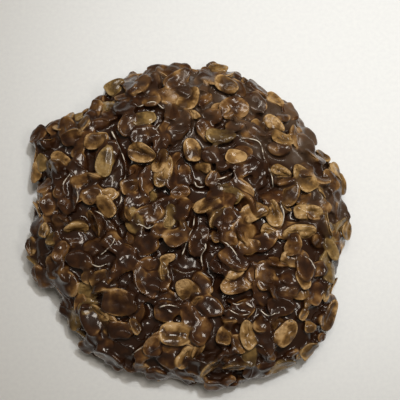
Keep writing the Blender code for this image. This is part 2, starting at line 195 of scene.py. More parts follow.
# Webs that the fudge pulled between flakes, where it set in thin glossy ridges. Points in mm
webs = (
    ((-8.5, 26), (-9.2, 24), (-8.2, 22.4), (-8.6, 21)),
    ((-21.5, 24), (-19.6, 20), (-18, 16), (-17.5, 12), (-18.8, 8), (-18.6, 5), (-19.4, 3)),
    ((-26.5, 2.5), (-23.5, 0.5), (-20.6, -2.5), (-20, -5), (-21.4, -8), (-24, -10)),
    ((1.2, 9.8), (2.2, 8.6), (4.4, 8.8), (6.4, 9.6), (7.8, 9)),
    ((7.8, 10.6), (9.6, 11.2), (11.2, 12), (12.4, 12.8)),
    ((1.2, 1.2), (0.8, -3), (-0.4, -6), (-2, -10)),
    ((3.2, -5.4), (4.2, -8), (3, -11), (3.6, -14)),
    ((8.4, -7), (10.2, -8), (11.8, -10), (13.4, -12.4)),
    ((24.6, 3.4), (25.4, 0.6), (24.2, -3)),
    ((14.5, 22.5), (17.5, 22), (19.4, 20.6), (20.4, 16), (22.2, 12), (22.6, 9.4)),
    ((-13.6, -2.2), (-11.6, -3), (-9.6, -2.6)),
    ((-8.6, -11), (-6.4, -13.2), (-5.8, -16)),
    ((10, -22.4), (12.4, -23.6), (14.4, -23.2), (16.4, -24.4)),
    ((10.6, -25.2), (13.2, -26.4), (15.6, -26.2)),
    ((-8, -24.4), (-5.6, -23.8), (-3.4, -24.4)),
    ((-31, 8), (-30.2, 5.4), (-31.2, 3)),
    ((-27.4, -12.4), (-24.6, -13.4), (-22.4, -12.6)),
    ((18.8, -25), (20.6, -26.4), (22.6, -26)),
    ((16.2, 8.8), (18.4, 6.6), (19.6, 4.4)),
    ((-33, 12), (-34.6, 9), (-34, 6.4)),
    ((-14, 31.5), (-10.5, 32.5), (-7.5, 31)),
    ((30, -10.5), (32.4, -11.6), (33.6, -14)),
    ((-15, -36), (-12.4, -34.2), (-11.6, -31.4)),
    ((-4.4, -14), (-1.4, -15.2), (1.8, -14.6), (4.6, -16)),
)

flakeRules = {
    "thickness": (0.9 * mm, 1.25 * mm),
    "taper": 0.16,
    "bend": 0.08,  # rise of both ends, as a share of the length
    "lowest": 0.5 * mm,
    "mainProud": 0.9 * mm,
    "bitProud": 0.45 * mm,
    "mainTwist": 25.0,  # degrees that the line a placed flake leans about may stray from its long axis
    "faceUp": 0.7,  # how far placed flakes turn up from the slope that they lie on
    "edgeShare": 0.995,
    "mostPast": 0.9 * mm,  # past the widest line
    "fillPlaces": 430,
    "fillEnd": 1.8,  # how far down the side, where 1 is the widest line and 2 the base
    "fillGap": 2.6 * mm,  # between the middles of a placed flake and one that fills in
    "webGap": 2.0 * mm,
    "fillScatter": 0.35,  # round the mound, as a share of the spacing
    "scatterFrom": 0.1,  # share of the reach, inside which the scatter grows no more
    "scatterDown": 0.5,
    "fillLengths": (5.2 * mm, 9.0 * mm),
    "fillWidths": (0.6, 0.76),  # shares of the length
    "fillLeans": (4.0, 38.0),
    "steepShare": 0.12,
    "steepLeans": (50.0, 72.0),
    "fillProud": (-0.3 * mm, 0.5 * mm),
    "sideStart": 0.8,
    "sideLean": 0.5,
    "sideSink": 0.35 * mm,
    "spiralSteps": 120,
    "seed": 7,
}

# What each look means: how much fudge covers the flake (0 bare to 1 hidden), how olive and how ruddy it is
looks = {
    "golden": (0.18, 0.2, 0.2),
    "tan": (0.08, 0.45, 0.1),
    "rough": (0.05, 0.35, 0.15),
    "creased": (0.14, 0.2, 0.1),
    "folded": (0.16, 0.2, 0.1),
    "pink": (0.2, 0.0, 0.75),
    "olive": (0.22, 0.9, 0.0),
    "amber": (0.42, 0.1, 0.55),
    "ruddy": (0.56, 0.0, 0.9),
    "coated": (0.85, 0.0, 0.5),
}
coverSpread = 0.15
fillLooks = ("golden", "amber", "amber", "amber", "ruddy", "ruddy", "coated", "coated", "coated", "olive")


def layFlake(middle, normal, turn, lean, leanTurn):
    along = Vector((math.cos(turn), math.sin(turn), 0.0))
    along = (along - normal * along.dot(normal)).normalized()
    frameOf = Matrix((along, normal.cross(along), normal)).transposed().to_4x4()
    hinge = Vector((math.cos(leanTurn), math.sin(leanTurn), 0.0))
    return Matrix.Translation(middle) @ frameOf @ Matrix.Rotation(lean, 4, hinge)


def placedFlakes(rows, draw, proud):
    rules = flakeRules
    for x, y, turn, length, width, lean, look in rows:
        wanted = Vector((x, y)) * mm
        angle = math.atan2(y, x)
        share = wanted.length / reachAt(angle)
        down = math.asin(min(rules["edgeShare"], share)) * 2.0 / math.pi
        normal = (moundNormal(angle, down) + Vector((0.0, 0.0, rules["faceUp"]))).normalized()
        middle = moundPoint(angle, down)
        past = (wanted - middle.xy).to_3d()
        past *= min(1.0, rules["mostPast"] / max(past.length, mm))
        over = proud - rules["sideSink"] if down > rules["sideStart"] else proud
        middle += past + normal * over
        leanTurn = math.radians(draw.uniform(-rules["mainTwist"], rules["mainTwist"]))
        matrix = layFlake(middle, normal, math.radians(turn), math.radians(lean), leanTurn)
        yield {"matrix": matrix, "length": length * mm, "width": width * mm, "look": look}


def spiralPlaces(draw):
    # an even spiral over the mound, by the area of the bands that it is made of
    rules = flakeRules
    steps, end, count = rules["spiralSteps"], rules["fillEnd"], rules["fillPlaces"]
    points = [profileAt(end * step / steps) for step in range(steps + 1)]
    meanReach = sum(mound["reaches"]) / len(mound["reaches"]) * mm
    areas = [0.0]
    for (share, height), (nextShare, nextHeight) in zip(points, points[1:]):
        band = math.hypot((nextShare - share) * meanReach, nextHeight - height)
        areas.append(areas[-1] + math.pi * (share + nextShare) * meanReach * band)
    spacing = math.sqrt(areas[-1] / count)
    goldenAngle = math.pi * (3.0 - math.sqrt(5.0))
    for place in range(count):
        wanted = areas[-1] * (place + 0.5) / count
        band = max(step for step in range(steps) if areas[step] <= wanted)
        along = (wanted - areas[band]) / (areas[band + 1] - areas[band])
        down = end * (band + along) / steps
        scatter = rules["fillScatter"] * spacing / (max(rules["scatterFrom"], profileAt(down)[0]) * meanReach)
        angle = place * goldenAngle + draw.uniform(-scatter, scatter)
        yield angle, min(end, down * (1.0 + rules["scatterDown"] * draw.uniform(-scatter, scatter)))


def fillFlakes(taken, kept):
    # flakes between the placed ones, clear of the webs
    rules = flakeRules
    draw = random.Random(rules["seed"] + 1)
    for angle, down in spiralPlaces(draw):
        length = draw.uniform(*rules["fillLengths"])
        width = length * draw.uniform(*rules["fillWidths"])
        turn, leanTurn = draw.uniform(0.0, math.pi), draw.uniform(0.0, math.tau)
        steep = draw.random() < rules["steepShare"]
        lean = math.radians(draw.uniform(*rules["steepLeans" if steep else "fillLeans"]))
        proud = draw.uniform(*rules["fillProud"])
        look = draw.choice(fillLooks)
        if down > rules["sideStart"]:
            lean, proud = rules["sideLean"] * lean, proud - rules["sideSink"]
        middle = moundPoint(angle, down)
        if down < 1.0 and min((middle.xy - other).length for other in taken) < rules["fillGap"]:
            continue
        if min((middle.xy - other).length for other in kept) < rules["webGap"]:
            continue
        normal = moundNormal(angle, down)
        matrix = layFlake(middle + normal * proud, normal, turn, lean, leanTurn)
        yield {"matrix": matrix, "length": length, "width": width, "look": look}


# Flakes pressed flat into the underside, which is hidden in the photograph
underside = {
    "spacing": 7.6 * mm,
    "rowShare": 0.87,  # distance of the rows, as a share of the spacing
    "rows": 5,  # each way from the middle
    "scatter": 0.3,
    "keptShare": 0.72,
    "tip": 4.0,  # degrees
    "margin": 5.0 * mm,
    "level": 0.62 * mm,
    "looks": ("golden", "amber", "ruddy", "tan", "coated"),
    "creaseShare": 0.2,
    "wrinkleShare": 0.3,
}


def baseFlakes():
    rules = flakeRules
    draw = random.Random(rules["seed"] + 5)
    spacing, scatter, rows = underside["spacing"], underside["scatter"], underside["rows"]
    for row in range(-rows, rows + 1):
        for column in range(-rows, rows + 1):
            x = (column + 0.5 * (row % 2) + draw.uniform(-scatter, scatter)) * spacing
            y = (row * underside["rowShare"] + draw.uniform(-scatter, scatter)) * spacing
            length = draw.uniform(*rules["fillLengths"])
            width = length * draw.uniform(*rules["fillWidths"])
            turn, tip = draw.uniform(0.0, math.pi), draw.uniform(-underside["tip"], underside["tip"])
            look = draw.choice(underside["looks"])
            keep = draw.random() < underside["keptShare"]
            edge = reachAt(math.atan2(y, x)) * mound["baseShare"] - underside["margin"]
            if math.hypot(x, y) > edge or not keep:
                continue
            middle = Vector((x, y, underside["level"]))
            matrix = layFlake(middle, Vector((0, 0, -1)), turn, math.radians(tip), 0.0)
            yield {"matrix": matrix, "length": length, "width": width, "look": look, "flat": True}


flakeForm = {
    "edgePower": 3.0,  # how flat the face stays towards the rim
    "waves": (0.04, 0.06, 0.035, 0.035, 0.025),  # how far the outline leaves its round, by 2 to 6 waves
    "waveShares": (0.3, 1.0),
    "blunt": (2.1, 2.8),  # 2 gives an ellipse, more a squarer end
    "nick": (-0.2, 0.28),  # depth of a broken place in the rim, none where it falls below 0
    "nickWidth": 0.45,
    "fold": (0.0, 0.22),  # slope of the two halves
    "foldedSlope": 0.75,
    "foldRound": 0.15,
    "cup": (-0.5, 0.3),  # mm, as are the next five
    "twist": (-0.7, 0.7),
    "creases": {"creased": 1.0, "rough": 0.5, "tan": 0.4, "pink": 0.2},
    "otherCreases": (0.0, 0.0, 0.0, 0.15, 0.35),
    "wrinkles": {"rough": 0.75, "tan": 0.55, "pink": 0.7, "ruddy": 0.4, "coated": 0.4},
    "otherWrinkles": (0.15, 0.5),
    "creaseWidth": 0.18,
    "wrinkleSize": 1.5 * mm,
}
flakeLayers = ("flakeForm", "flakeTone")


def giveCharacter(flakes, seed):
    # what tells one flake from the next: outline, thickness, cup, twist, crease and wrinkles
    form = flakeForm
    draw = random.Random(seed)
    for flake in flakes:
        look = flake["look"]
        flake["thickness"] = draw.uniform(*flakeRules["thickness"])
        flake["waves"] = [(draw.uniform(*form["waveShares"]) * most, draw.uniform(0.0, math.tau))
                          for most in form["waves"]]
        flake["blunt"] = draw.uniform(*form["blunt"])
        flake["nick"] = max(0.0, draw.uniform(*form["nick"])), draw.uniform(0.0, math.tau)
        flake["fold"] = form["foldedSlope"] if look == "folded" else draw.uniform(*form["fold"])
        flake["cup"] = draw.uniform(*form["cup"]) * mm
        flake["twist"] = draw.uniform(*form["twist"]) * mm
        flake["crease"] = form["creases"].get(look, draw.choice(form["otherCreases"])) * mm
        flake["wrinkle"] = form["wrinkles"].get(look, draw.uniform(*form["otherWrinkles"])) * mm
        flake["place"] = Vector([draw.uniform(0, 90) for _ in range(3)])  # in the noise of the wrinkles
        flake["cover"] = min(1.0, max(0.0, looks[look][0] + draw.uniform(-1.0, 1.0) * coverSpread))
        if flake.get("flat"):
            flake.update(cup=0.0, twist=0.0, fold=0.0, crease=underside["creaseShare"] * flake["crease"],
                         wrinkle=underside["wrinkleShare"] * flake["wrinkle"])


def shapeFlake(built, flake, sides, rings):
    # a flat round, drawn out to a ragged egg and bent, cupped and creased as a rolled groat is
    layers = built.verts.layers.float_color
    for name in flakeLayers:
        layers.new(name)
    form, tone = (layers[name] for name in flakeLayers)
    made = bmesh.ops.create_uvsphere(built, u_segments=sides, v_segments=rings, radius=1.0)["verts"]
    length, width = flake["length"], flake["width"]
    flat, blunt = flake.get("flat", False), flake["blunt"]
    nick, nickTurn = flake["nick"]
    for vert in made:
        x, y, z = vert.co
        radius, around = math.hypot(x, y), math.atan2(y, x)
        waves = enumerate(flake["waves"], 2)
        ragged = 1.0 + sum(size * math.sin(number * around + turn) for number, (size, turn) in waves)
        ragged *= (abs(math.cos(around)) ** blunt + abs(math.sin(around)) ** blunt) ** (-1.0 / blunt)
        off = math.remainder(around - nickTurn, math.tau) / flakeForm["nickWidth"]
        ragged *= 1.0 - nick * math.exp(-off * off)
        along = 0.5 * length * x * ragged
        across = 0.5 * width * y * ragged * (1.0 - flakeRules["taper"] * x)
        half = 0.5 * flake["thickness"] * max(0.0, 1.0 - radius ** flakeForm["edgePower"]) ** 0.5
        bend = 0.0 if flat else flakeRules["bend"] * length * x * x
        groove = flake["crease"] * math.exp(-((y / flakeForm["creaseWidth"]) ** 2)) * max(0.0, 1.0 - x * x)
        rough = noise.noise(Vector((along, across, 0.0)) / flakeForm["wrinkleSize"] + flake["place"])
        height = math.copysign(half, z) + bend + flake["cup"] * y * y + flake["twist"] * x * y
        folded = math.hypot(y, flakeForm["foldRound"]) - flakeForm["foldRound"]
        height += flake["fold"] * 0.5 * width * folded
        vert.co = flake["matrix"] @ Vector((along, across, height - groove + flake["wrinkle"] * rough))
        vert[form] = (radius, 0.5 + 0.5 * x, 0.5 + 0.5 * y, flake["crease"] / mm)
        vert[tone] = (flake["cover"], *looks[flake["look"]][1:], 1.0)
    lowest = min(vert.co.z for vert in made)
    floorLevel = 0.0 if flat else flakeRules["lowest"]
    if lowest < floorLevel or flat:
        bmesh.ops.translate(built, verts=made, vec=(0.0, 0.0, floorLevel - lowest))


def joinShapes(built, shape, items, *settings):
    # each item is shaped in a mesh of its own, which keeps this quick, and added to what is built
    carrier = bpy.data.meshes.new("carrier")
    for item in items:
        single = bmesh.new()
        shape(single, item, *settings)
        single.to_mesh(carrier)
        single.free()
        built.from_mesh(carrier)
    bpy.data.meshes.remove(carrier)


def meshObject(built, name):
    data = bpy.data.meshes.new(name)
    built.to_mesh(data)
    built.free()
    piece = bpy.data.objects.new(name, data)
    bpy.context.scene.collection.objects.link(piece)
    return piece


def addModifier(piece, kind, settings):
    modifier = piece.modifiers.new(kind.lower(), kind)
    for name, value in settings.items():
        setattr(modifier, name, value)


def workIn(piece):
    # works the modifiers into the piece's mesh
    graph = bpy.context.evaluated_depsgraph_get()
    mesh = bpy.data.meshes.new_from_object(piece.evaluated_get(graph), preserve_all_data_layers=True,
                                           depsgraph=graph)
    piece.modifiers.clear()
    piece.data = mesh


def smoothFaces(piece):
    for face in piece.data.polygons:
        face.use_smooth = True


def makeOats(name, flakes, seed, sides, rings):
    built = bmesh.new()
    giveCharacter(flakes, seed)
    joinShapes(built, shapeFlake, flakes, sides, rings)
    piece = meshObject(built, name)
    addModifier(piece, "SUBSURF", {"levels": 1, "render_levels": 1})
    workIn(piece)
    smoothFaces(piece)
    return piece


drawMain = random.Random(flakeRules["seed"])
largeFlakes = list(placedFlakes(mainFlakes, drawMain, flakeRules["mainProud"]))
smallFlakes = list(placedFlakes(sideFlakes, drawMain, flakeRules["bitProud"]))
handPlaced = [Vector(row[:2]) * mm for row in mainFlakes + sideFlakes]
webPoints = [Vector(point) * mm for row in webs for point in row]
restFlakes = list(fillFlakes(handPlaced, webPoints))
underFlakes = list(baseFlakes())
print(f"flakes: {len(largeFlakes)} large, {len(smallFlakes)} small, {len(restFlakes)} between,",
      f"{len(underFlakes)} below")

# Seed of the draws, and the sides and rings that each flake of a piece starts from
oatMeshes = {
    "whole_oats": (21, 18, 8),
    "oat_bits": (22, 16, 7),
    "buried_oats": (23, 14, 6),
    "base_oats": (24, 14, 6),
}
oatFlakes = (largeFlakes, smallFlakes, restFlakes, underFlakes)
oatPieces = [makeOats(name, flakes, *oatMeshes[name]) for name, flakes in zip(oatMeshes, oatFlakes)]
print("oats shaped")

fudgeSkin = {
    "voxel": 0.32 * mm,
    "triangles": 190000,
    "fillet": 0.38 * mm,  # radius of the wet fudge in the corners between flakes
    "filmSides": (20, 10),
    "bedSides": (14, 8),
    "bedDepth": 2.4 * mm,
    "bedTop": -0.1 * mm,  # from the middle of the flake
    "bedShare": 0.85,
    "bedPower": 4.0,  # how flat the bed is
    "bedLowest": 0.4 * mm,
    "patchSize": 3.0 * mm,  # the film runs thick and thin over a flake
    "patchHeight": 0.48 * mm,
    "baseLevel": 0.12 * mm,
    "cutLevel": 0.45 * mm,
    "crumb": 200,  # vertices
    "lumps": ((2.8 * mm, 0.36 * mm), (1.3 * mm, 0.07 * mm)),
    "threadSize": 5.5 * mm,  # across the cells between the threads that the fudge drew out as it was spread
    "threadShift": (3.1, 8.7, 0.4),
    "threadPatch": 9.0 * mm,
    "threadPatchShift": (5.0, 1.0, 9.0),
    "threadPatchEdge": 3.0,
    "threadHeight": 0.2 * mm,
    "threadWidth": 0.1,
    "farthest": 2.0 * mm,  # distances from a web are kept up to this
    # how far in mm the fudge reaches over the flake of each look: below 0 leaves it bare
    "cover": {"golden": -0.18, "tan": -0.25, "rough": -0.2, "creased": -0.2, "folded": -0.2, "pink": -0.18,
              "olive": -0.16, "amber": -0.04, "ruddy": 0.04, "coated": 0.18},
}


def makeMound():
    built = bmesh.new()
    downs = [ring / mound["upperRings"] for ring in range(mound["upperRings"] + 1)]
    downs += [1.0 + (ring + 1) / mound["lowerRings"] for ring in range(mound["lowerRings"])]
    verts = [built.verts.new((down, 0.0, 0.0)) for down in downs]
    edges = [built.edges.new(pair) for pair in zip(verts, verts[1:])]
    bmesh.ops.spin(built, geom=verts + edges, cent=(0, 0, 0), axis=(0, 0, 1), angle=math.tau,
                   steps=mound["sides"], use_merge=True)
    bmesh.ops.remove_doubles(built, verts=built.verts, dist=1e-5)
    bmesh.ops.holes_fill(built, edges=[edge for edge in built.edges if edge.is_boundary])
    for vert in built.verts:
        angle, down = math.atan2(vert.co.y, vert.co.x), vert.co.xy.length
        point, outward, fade = moundFrame(angle, down)
        crag = mound["cragHeight"] * noise.noise(point / mound["cragSize"])
        lump = mound["lumpHeight"] * noise.noise(point / mound["lumpSize"] + Vector(mound["lumpShift"]))
        vert.co = point + outward * (crag + lump - mound["inset"]) * fade
    bmesh.ops.recalc_face_normals(built, faces=built.faces)
    return built


def shapeFilm(built, flake):
    # the film that runs over a flake, thick and thin, or stays under its face where the flake is bare
    shapeFlake(built, flake, *fudgeSkin["filmSides"])
    layers = built.verts.layers.float_color
    for name in flakeLayers:
        layers.remove(layers[name])
    built.normal_update()
    cover = fudgeSkin["cover"][flake["look"]] * mm
    for vert in built.verts:
        patch = fudgeSkin["patchHeight"] * noise.noise(vert.co / fudgeSkin["patchSize"])
        vert.co += vert.normal * (cover + patch)


def shapeBed(built, flake):
    # the fudge that a flake lies in
    skin = fudgeSkin
    sides, rings = skin["bedSides"]
    for vert in bmesh.ops.create_uvsphere(built, u_segments=sides, v_segments=rings, radius=1.0)["verts"]:
        x, y, z = vert.co
        half = max(0.0, 1.0 - math.hypot(x, y) ** skin["bedPower"]) ** 0.5
        vert.co = flake["matrix"] @ Vector((0.5 * skin["bedShare"] * flake["length"] * x,
                                            0.5 * skin["bedShare"] * flake["width"] * y,
                                            half * (skin["bedTop"] if z > 0 else -skin["bedDepth"])))
        vert.co.z = max(vert.co.z, skin["bedLowest"])


webLook = {
    "radius": 0.5 * mm,
    "endShare": 0.6,  # radius at both ends
    "lift": 0.3 * mm,
    "tall": 2.6,
    "levelShare": 0.6,
    "evened": 3,  # beads each way whose heights are evened out
    "above": 40.0 * mm,
    "steps": 7,
    "lineSteps": 40,
    "reach": 1.1 * mm,  # how far from its middle a web is told apart from other fudge
    "leastUp": 0.2,  # its painted highlight line stays off faces that look down or aside more than this
}


def webCurve(row, steps):
    # a smooth line through the points of a web, in mm
    points = [Vector(point) for point in row]
    last = len(points) - 1
    curve = []
    for place in range(last * steps + 1):
        span = min(place // steps, last - 1)
        near = (points[min(last, max(0, span + step))] for step in (-1, 0, 1, 2))
        curve.append(between(*near, place / steps - span))
    return curve


def addWeb(built, row, surface):
    # a ridge along the web, thinner at its ends, level and rooted in the fudge
    look = webLook
    middles = [surface.ray_cast(Vector((point.x * mm, point.y * mm, look["above"])), Vector((0, 0, -1)))[0]
               for point in webCurve(row, look["steps"])]
    level = sum(middle.z for middle in middles) / len(middles)
    for place, middle in enumerate(middles):
        near = middles[max(0, place - look["evened"]):place + look["evened"] + 1]
        height = sum(point.z for point in near) / len(near)
        height += look["levelShare"] * (level - height)
        full = math.sin(math.pi * place / (len(middles) - 1))
        radius = look["radius"] * (look["endShare"] + (1.0 - look["endShare"]) * full)
        bead = bmesh.ops.create_icosphere(built, subdivisions=2, radius=radius)["verts"]
        bmesh.ops.scale(built, verts=bead, vec=(1.0, 1.0, look["tall"]))
        drop = radius * (look["tall"] - 1.0)
        bmesh.ops.translate(built, verts=bead, vec=(middle.x, middle.y, height + look["lift"] - drop))


def makeFudge(flakes):
    built = makeMound()
    joinShapes(built, shapeFilm, flakes)
    joinShapes(built, shapeBed, flakes)
    joinShapes(built, addWeb, webs, BVHTree.FromBMesh(built))
    piece = meshObject(built, "fudge")
    # swelling and shrinking the joined shapes leaves the fillet in their corners
    joined = ("REMESH", {"mode": "VOXEL", "voxel_size": fudgeSkin["voxel"]})
    swollen = ("DISPLACE", {"mid_level": 0.0, "strength": fudgeSkin["fillet"]})
    shrunk = ("DISPLACE", {"mid_level": 0.0, "strength": -fudgeSkin["fillet"]})
    smooth = ("SMOOTH", {"factor": 0.5, "iterations": 1})
    for step in (joined, swollen, joined, shrunk, smooth, joined, smooth):
        addModifier(piece, *step)
    workIn(piece)
    triangles = sum(len(face.vertices) - 2 for face in piece.data.polygons)
    addModifier(piece, "DECIMATE", {"ratio": min(1.0, fudgeSkin["triangles"] / triangles)})
    workIn(piece)
    return piece


fudge = makeFudge(largeFlakes + smallFlakes + restFlakes)
print("fudge filled in:", len(fudge.data.polygons), "faces")


def webTree():
    # every place along the webs, to look the nearest one up, with the way that the web runs there
    curves = [webCurve(row, webLook["lineSteps"]) for row in webs]
    places = [(here * mm, there - here) for curve in curves for here, there in zip(curve, curve[1:])]
    tree = KDTree(len(places))
    for number, (here, way) in enumerate(places):
        tree.insert(here.to_3d(), number)
    tree.balance()
    return tree, [way.normalized() for here, way in places]


def roughen(piece):
    # the slack, lumpy surface of fudge that set as it was spooned out, with threads where it was drawn
    normals = [vert.normal.copy() for vert in piece.data.vertices]
    threads = piece.data.attributes.new("threadAndHighlight", "FLOAT_COLOR", "POINT").data
    skin = fudgeSkin
    tree, ways = webTree()
    for vert, normal, threadAndHighlight in zip(piece.data.vertices, normals, threads):
        place = vert.co.copy()
        depth = sum(deep * noise.noise(place / size) for size, deep in skin["lumps"])
        across = noise.noise(place / skin["threadSize"] + Vector(skin["threadShift"]))
        patch = noise.noise(place / skin["threadPatch"] + Vector(skin["threadPatchShift"]))
        share = min(1.0, max(0.0, 0.5 + skin["threadPatchEdge"] * patch))
        crest = max(0.0, 1.0 - abs(across) / (2.0 * skin["threadWidth"])) * share
        near, number, apart = tree.find((place.x, place.y, 0.0))
        side = ways[number].x * (place.y - near.y) - ways[number].y * (place.x - near.x)
        # the web share also places the pale line painted along a web as a highlight
        webShare = max(0.0, 1.0 - apart / webLook["reach"]) if normal.z > webLook["leastUp"] else 0.0
        off = math.copysign(min(1.0, apart / skin["farthest"]), side)
        # colours can't be below 0, so what has two sides is kept around 0.5
        threadAndHighlight.color = (0.5 + 0.5 * across, share, 0.5 + 0.5 * off, webShare)
        depth += 0.5 * skin["threadHeight"] * crest
        vert.co = place + normal * (depth * min(1.0, place.z / mound["widestHeight"]))


def dropCrumbs(built):
    # takes out specks and bubbles of a few faces that the remeshing left apart from the rest
    left = set(built.verts)
    while left:
        front, island = [left.pop()], []
        while front:
            vert = front.pop()
            island.append(vert)
            for edge in vert.link_edges:
                other = edge.other_vert(vert)
                if other in left:
                    left.remove(other)
                    front.append(other)
        if len(island) < fudgeSkin["crumb"]:
            bmesh.ops.delete(built, geom=island, context="VERTS")


def levelBase(piece):
    # the underside set flat on the sheet, as one face
    level = fudgeSkin["baseLevel"]
    built = bmesh.new()
    built.from_mesh(piece.data)
    dropCrumbs(built)
    for vert in built.verts:
        if vert.co.z < fudgeSkin["cutLevel"]:
            vert.co.z = level
    rounding = 1e-7
    flat = [face for face in built.faces if max(vert.co.z for vert in face.verts) < level + rounding]
    bmesh.ops.delete(built, geom=flat, context="FACES")
    bmesh.ops.holes_fill(built, edges=[edge for edge in built.edges if edge.is_boundary])
    built.to_mesh(piece.data)
    built.free()


roughen(fudge)
levelBase(fudge)

# Plain names for the nodes that are used most: the type, and what is set on it
nodeKinds = {
    "attribute": ("ShaderNodeAttribute", {}),
    "bump": ("ShaderNodeBump", {}),
    "dot": ("ShaderNodeVectorMath", {"operation": "DOT_PRODUCT"}),
    "nearest": ("GeometryNodeSampleNearestSurface", {}),
    "noise": ("ShaderNodeTexNoise", {}),
    "parts": ("ShaderNodeSeparateColor", {}),
    "ramp": ("ShaderNodeValToRGB", {}),
    "spread": ("ShaderNodeMapRange", {"interpolation_type": "SMOOTHSTEP"}),
    "store": ("GeometryNodeStoreNamedAttribute", {}),
    "tint": ("ShaderNodeMix", {"data_type": "RGBA"}),
}
for operation in ("ABSOLUTE", "ADD", "DIVIDE", "MAXIMUM", "MULTIPLY", "MULTIPLY_ADD", "POWER", "SIGN",
                  "SUBTRACT"):
    nodeKinds[operation.lower()] = ("ShaderNodeMath", {"operation": operation})


def setSocket(socket, value):
    # to a value, or linked to a node or to one of its sockets
    if isinstance(value, bpy.types.Node):
        value = next(output for output in value.outputs if output.enabled)
    if isinstance(value, bpy.types.NodeSocket):
        socket.id_data.links.new(value, socket)
    else:
        socket.default_value = value


def setNode(node, settings):
    # each setting is for the property or the open socket of its name
    for name, value in settings.items():
        if hasattr(node, name):
            setattr(node, name, value)
        else:
            setSocket(next(socket for socket in node.inputs if socket.name == name and socket.enabled), value)


def addNode(tree, kind, *values, **settings):
    # the values go to the open sockets in their order
    kind, always = nodeKinds.get(kind, (kind, {}))
    node = tree.nodes.new(kind)
    setNode(node, {**always, **settings})
    for socket, value in zip([socket for socket in node.inputs if socket.enabled], values):
        setSocket(socket, value)
    return node


def newGroup(name):
    tree = bpy.data.node_groups.new(name, "GeometryNodeTree")
    for way in ("INPUT", "OUTPUT"):
        tree.interface.new_socket("Geometry", in_out=way, socket_type="NodeSocketGeometry")
    return tree, partial(addNode, tree)


def measureHollows(piece):
    # stores how far each point stands out of (above 0) or lies below the surface around it, in mm
    tree, node = newGroup("relief")
    here = node("GeometryNodeInputPosition")
    around = node("GeometryNodeBlurAttribute", data_type="FLOAT_VECTOR", Value=here, Iterations=7)
    apart = node("ShaderNodeVectorMath", here, around, operation="SUBTRACT")
    rise = node("divide", node("dot", apart, node("GeometryNodeInputNormal")), mm)
    node("NodeGroupOutput", node("store", data_type="FLOAT", Name="relief", Geometry=node("NodeGroupInput"),
                                 Value=rise))
    addModifier(piece, "NODES", {"node_group": tree})
    workIn(piece)


def measureGaps(piece, others):
    # stores how far each point lies outside (above 0) or inside the others, in mm, and the tone found there
    tree, node = newGroup("gap")
    joined = node("GeometryNodeJoinGeometry")
    for other in others:
        setSocket(joined.inputs[0], node("GeometryNodeObjectInfo", other).outputs["Geometry"])
    here = node("GeometryNodeInputPosition")
    there = node("nearest", data_type="FLOAT_VECTOR", Mesh=joined, Value=here)
    facing = node("nearest", data_type="FLOAT_VECTOR", Mesh=joined, Value=node("GeometryNodeInputNormal"))
    apart = node("ShaderNodeVectorMath", here, there, operation="SUBTRACT")
    distance = node("ShaderNodeVectorMath", apart, operation="LENGTH")
    signed = node("multiply", node("sign", node("dot", apart, facing)), distance)
    last = node("store", data_type="FLOAT", Name="gap", Geometry=node("NodeGroupInput"),
                Value=node("divide", signed, mm))
    for name in ("flakeTone", "flakeForm"):
        if name not in piece.data.attributes:
            found = node("GeometryNodeInputNamedAttribute", data_type="FLOAT_COLOR", Name=name)
            found = node("nearest", data_type="FLOAT_COLOR", Mesh=joined, Value=found)
            last = node("store", data_type="FLOAT_COLOR", Name=name, Geometry=last, Value=found)
    node("NodeGroupOutput", last)
    addModifier(piece, "NODES", {"node_group": tree})
    workIn(piece)


measureHollows(fudge)
measureGaps(fudge, oatPieces)
for piece in oatPieces:
    measureGaps(piece, [fudge])
smoothFaces(fudge)
print("films of fudge measured")


def srgb(hexValue):
    parts = [int(hexValue[i:i + 2], 16) / 255.0 for i in (1, 3, 5)]
    linear = [part / 12.92 if part <= 0.04045 else ((part + 0.055) / 1.055) ** 2.4 for part in parts]
    return (*linear, 1.0)


def newMaterial(name):
    material = bpy.data.materials.new(name)
    material.use_nodes = True
    tree = material.node_tree
    return material, partial(addNode, tree), tree.nodes["Principled BSDF"]


def layStops(node, stops):
    ramp = node.color_ramp
    while len(ramp.elements) < len(stops):
        ramp.elements.new(0.5)
    for element, (place, value) in zip(ramp.elements, stops):
        element.position = place
        element.color = srgb(value)
    return node


# From bare oat (0) through an ever thicker film of fudge to fudge alone (1). Both materials read this, so
# that they meet unseen
filmLook = {
    "golden": ((0.0, "#c6a270"), (0.15, "#9c7848"), (0.3, "#77572f"), (0.48, "#493018"), (0.7, "#301a0d"),
               (1.0, "#28150a")),
    "olive": "#7a673c",
    "ruddy": "#603d1f",
    "toneShare": 0.8,
    "meet": (0.46, 0.3),  # cover where the fudge meets a flake: by the flake's own cover, and at least
    "fudgeDepth": 0.9,  # mm of fudge over a flake that hides it
    "oatHeight": 0.45,  # mm above the fudge where a flake is dry
    "rim": 0.34,  # how far the film draws off the edge of a flake
    "rimPlace": (0.78, 0.97),  # 0 is the middle of a flake and 1 its edge
    "rimPatch": 4.5,  # mm
    "rimPatchEdge": (0.47, 0.6),
    "blotch": 2.6,  # mm
    "cloud": 1.3,  # how strong the wide patches are beside the blotches
}


